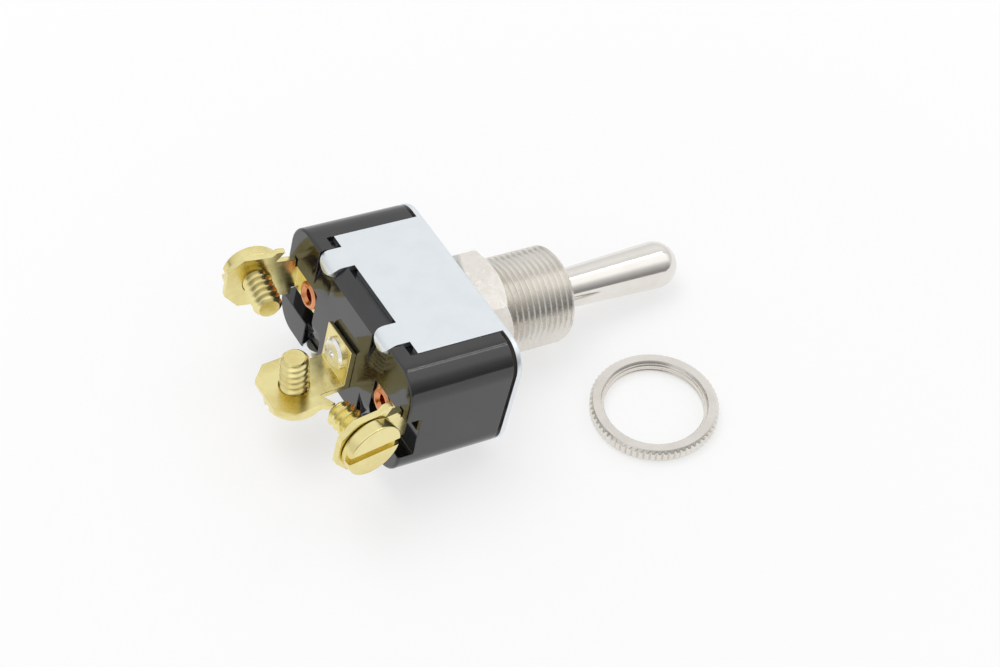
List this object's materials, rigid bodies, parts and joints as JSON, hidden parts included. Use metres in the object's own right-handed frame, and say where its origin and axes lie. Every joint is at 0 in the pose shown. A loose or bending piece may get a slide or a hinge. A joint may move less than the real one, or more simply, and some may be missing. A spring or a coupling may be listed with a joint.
{
  "type": "panel toggle switch",
  "caption": "Bat-lever toggle switch with a threaded bushing, black moulded base clasped by a sheet frame, screw terminals and a knurled face nut lying loose beside it.",
  "frame": {"origin": "on the bushing's axis, in the front plane of the sheet frame that seats behind a panel", "axes": "+X along the bushing toward the lever's tip, +Z square to the wide plate away from the common terminal, +Y toward terminal a"},
  "size_m": [0.0561, 0.0409, 0.0158],
  "materials": {
    "phenolic": "glossy moulded black",
    "zinc_plate": "bright zinc plate",
    "fibre": "hard fibre board",
    "nickel_plate": "satin nickel plate",
    "polished_nickel": "polished nickel plate",
    "steel": "bright drawn",
    "nylon": "moulded",
    "brass": "bright pressed brass",
    "copper": "bright copper",
    "silver": "white silver"
  },
  "bodies": {
    "switch": {"base": "phenolic", "frame": "zinc_plate", "liner": "fibre", "bushing": "nickel_plate", "hex_nut": "nickel_plate", "face_nut": "nickel_plate", "terminal_a": "brass", "terminal_b": "brass", "terminal_common": "brass", "rivet_a": "copper", "rivet_b": "copper", "common_rivet": "silver", "fixed_contact_a": "silver", "fixed_contact_b": "silver", "cradle": "brass"},
    "lever": {"lever": "polished_nickel", "lever_pin": "steel"},
    "plunger": {"plunger": "nylon", "plunger_spring": "steel"},
    "rocker": {"rocker": "brass", "moving_contact_a": "silver", "moving_contact_b": "silver"},
    "screw_a": {"screw_a": "brass"},
    "screw_b": {"screw_b": "brass"},
    "screw_common": {"screw_common": "brass"}
  },
  "joints": [
    {"name": "lever_tilt", "type": "hinge", "parent": "switch", "child": "lever", "pos_m": [0.006, 0, 0], "axis": [0, 0, 1], "range_deg": [-12, 12]},
    {"name": "rocker_tilt", "type": "hinge", "parent": "switch", "child": "rocker", "pos_m": [-0.00935, 0, 0], "axis": [0, 0, 1], "range_deg": [-6, 6]},
    {"name": "plunger_slide", "type": "slide", "parent": "lever", "child": "plunger", "axis": [1, 0, 0], "range_m": [0, 0.0008], "stiffness_N_per_m": 1500, "springref_m": -0.002},
    {"name": "screw_a_turn", "type": "hinge", "parent": "switch", "child": "screw_a", "pos_m": [-0.01915, 0.01301, 0], "axis": [0.1392, 0.9903, 0], "continuous": true},
    {"name": "screw_b_turn", "type": "hinge", "parent": "switch", "child": "screw_b", "pos_m": [-0.01915, -0.01301, 0], "axis": [0.1392, -0.9903, 0], "continuous": true},
    {"name": "screw_common_turn", "type": "hinge", "parent": "switch", "child": "screw_common", "pos_m": [-0.0203, 0, -0.00399], "axis": [0.1392, 0, -0.9903], "continuous": true}
  ],
  "couplings": [
    {"joint": "rocker_tilt", "follows": "lever_tilt", "ratio": -0.5}
  ]
}
